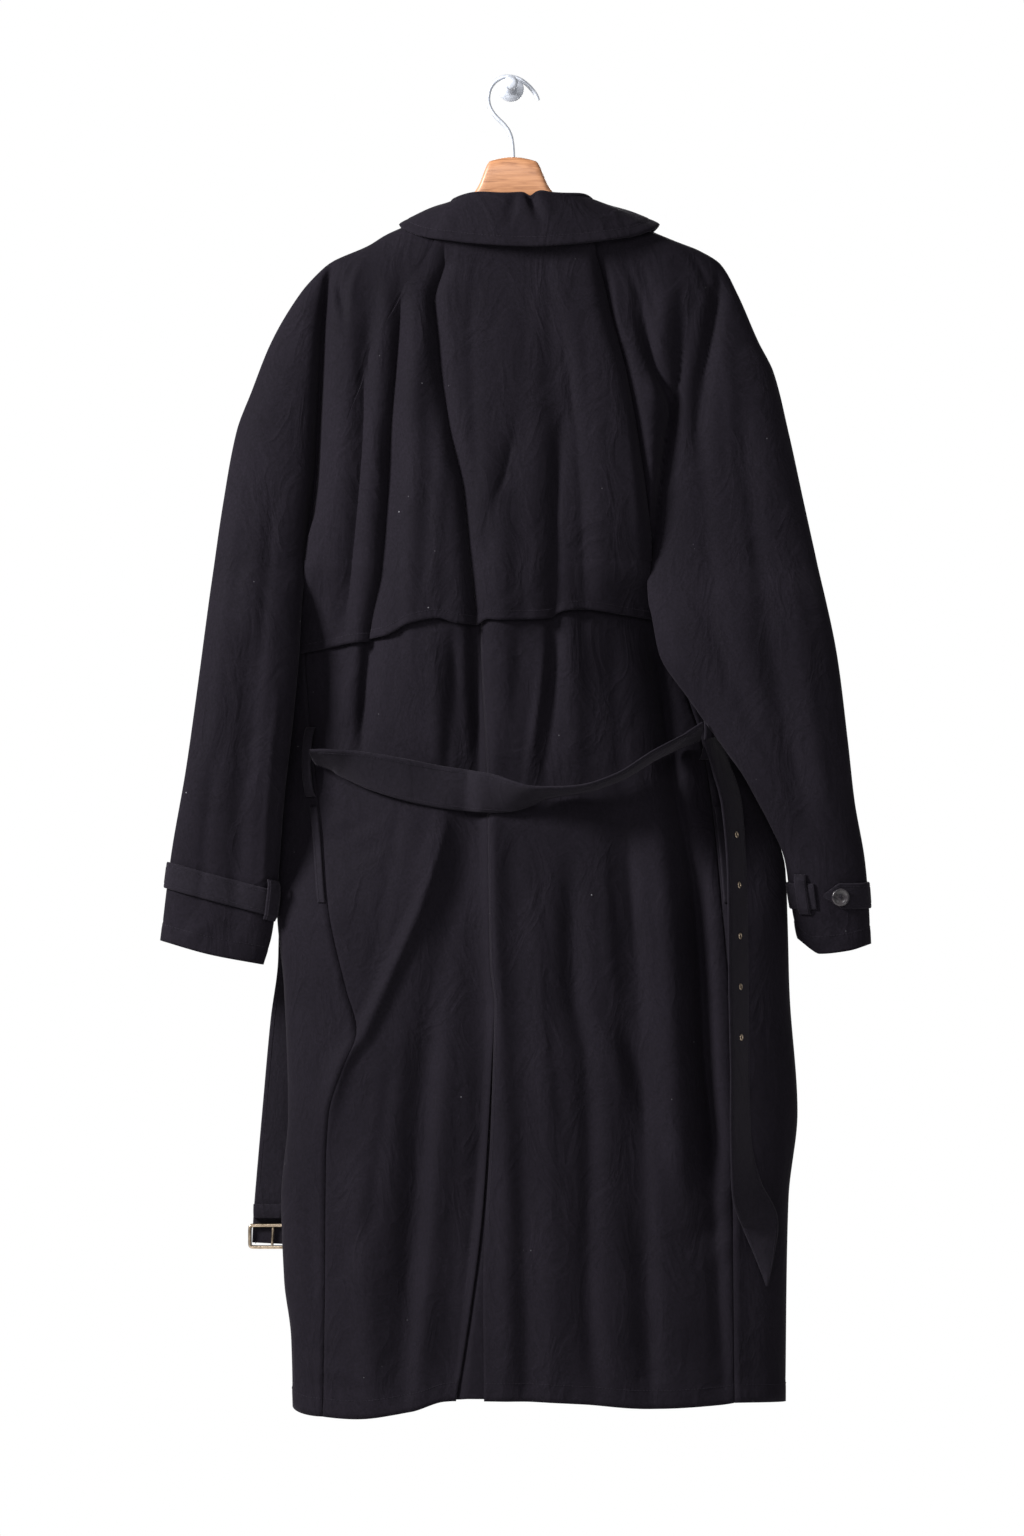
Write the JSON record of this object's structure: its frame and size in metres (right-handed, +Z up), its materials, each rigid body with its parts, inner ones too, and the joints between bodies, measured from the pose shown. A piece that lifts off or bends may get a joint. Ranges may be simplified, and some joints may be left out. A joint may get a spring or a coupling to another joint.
{
  "type": "trench coat on a wooden hanger on a wall hook",
  "caption": "Black belted trench coat with raglan sleeves, back storm flap and centre vent, hung by a wooden hanger on a wall hook.",
  "frame": {"origin": "centre of the wall plate's flat back face, where the wall hook meets the wall", "axes": "+Y goes into the wall, +Z up, -X toward the wearer's left sleeve. The coat's back faces -Y."},
  "size_m": [0.7134, 0.1548, 1.352],
  "materials": {
    "cloth": "fine matt black cotton weave",
    "button": "polished",
    "pale_metal": "pale plated metal",
    "wood": "lacquered",
    "steel": "satin"
  },
  "bodies": {
    "root": {"back_left": "cloth", "back_right": "cloth", "vent_underlap": "cloth", "storm_flap": "cloth", "front_left": "cloth", "front_right": "cloth", "sleeve_left_back": "cloth", "sleeve_left_front": "cloth", "sleeve_right_back": "cloth", "sleeve_right_front": "cloth", "collar": "cloth", "cuff_strap_left": "cloth", "cuff_strap_right": "cloth", "cuff_loop_left": "cloth", "cuff_loop_right": "cloth", "pocket_welt_left": "cloth", "pocket_welt_right": "cloth", "belt_back": "cloth", "belt_tip_end": "cloth", "belt_buckle_end": "cloth", "belt_loop_left": "cloth", "belt_loop_right": "cloth", "belt_keeper": "cloth", "cuff_button_left": "button", "cuff_button_right": "button", "front_button_left_1": "button", "front_button_left_2": "button", "front_button_left_3": "button", "front_button_left_4": "button", "front_button_right_1": "button", "front_button_right_2": "button", "front_button_right_3": "button", "front_button_right_4": "button", "buckle_frame": "pale_metal", "buckle_pin": "pale_metal", "eyelet_1": "pale_metal", "eyelet_2": "pale_metal", "eyelet_3": "pale_metal", "eyelet_4": "pale_metal", "eyelet_5": "pale_metal", "hanger_wood": "wood", "hanger_hook": "steel", "wall_hook": "steel"}
  },
  "joints": []
}
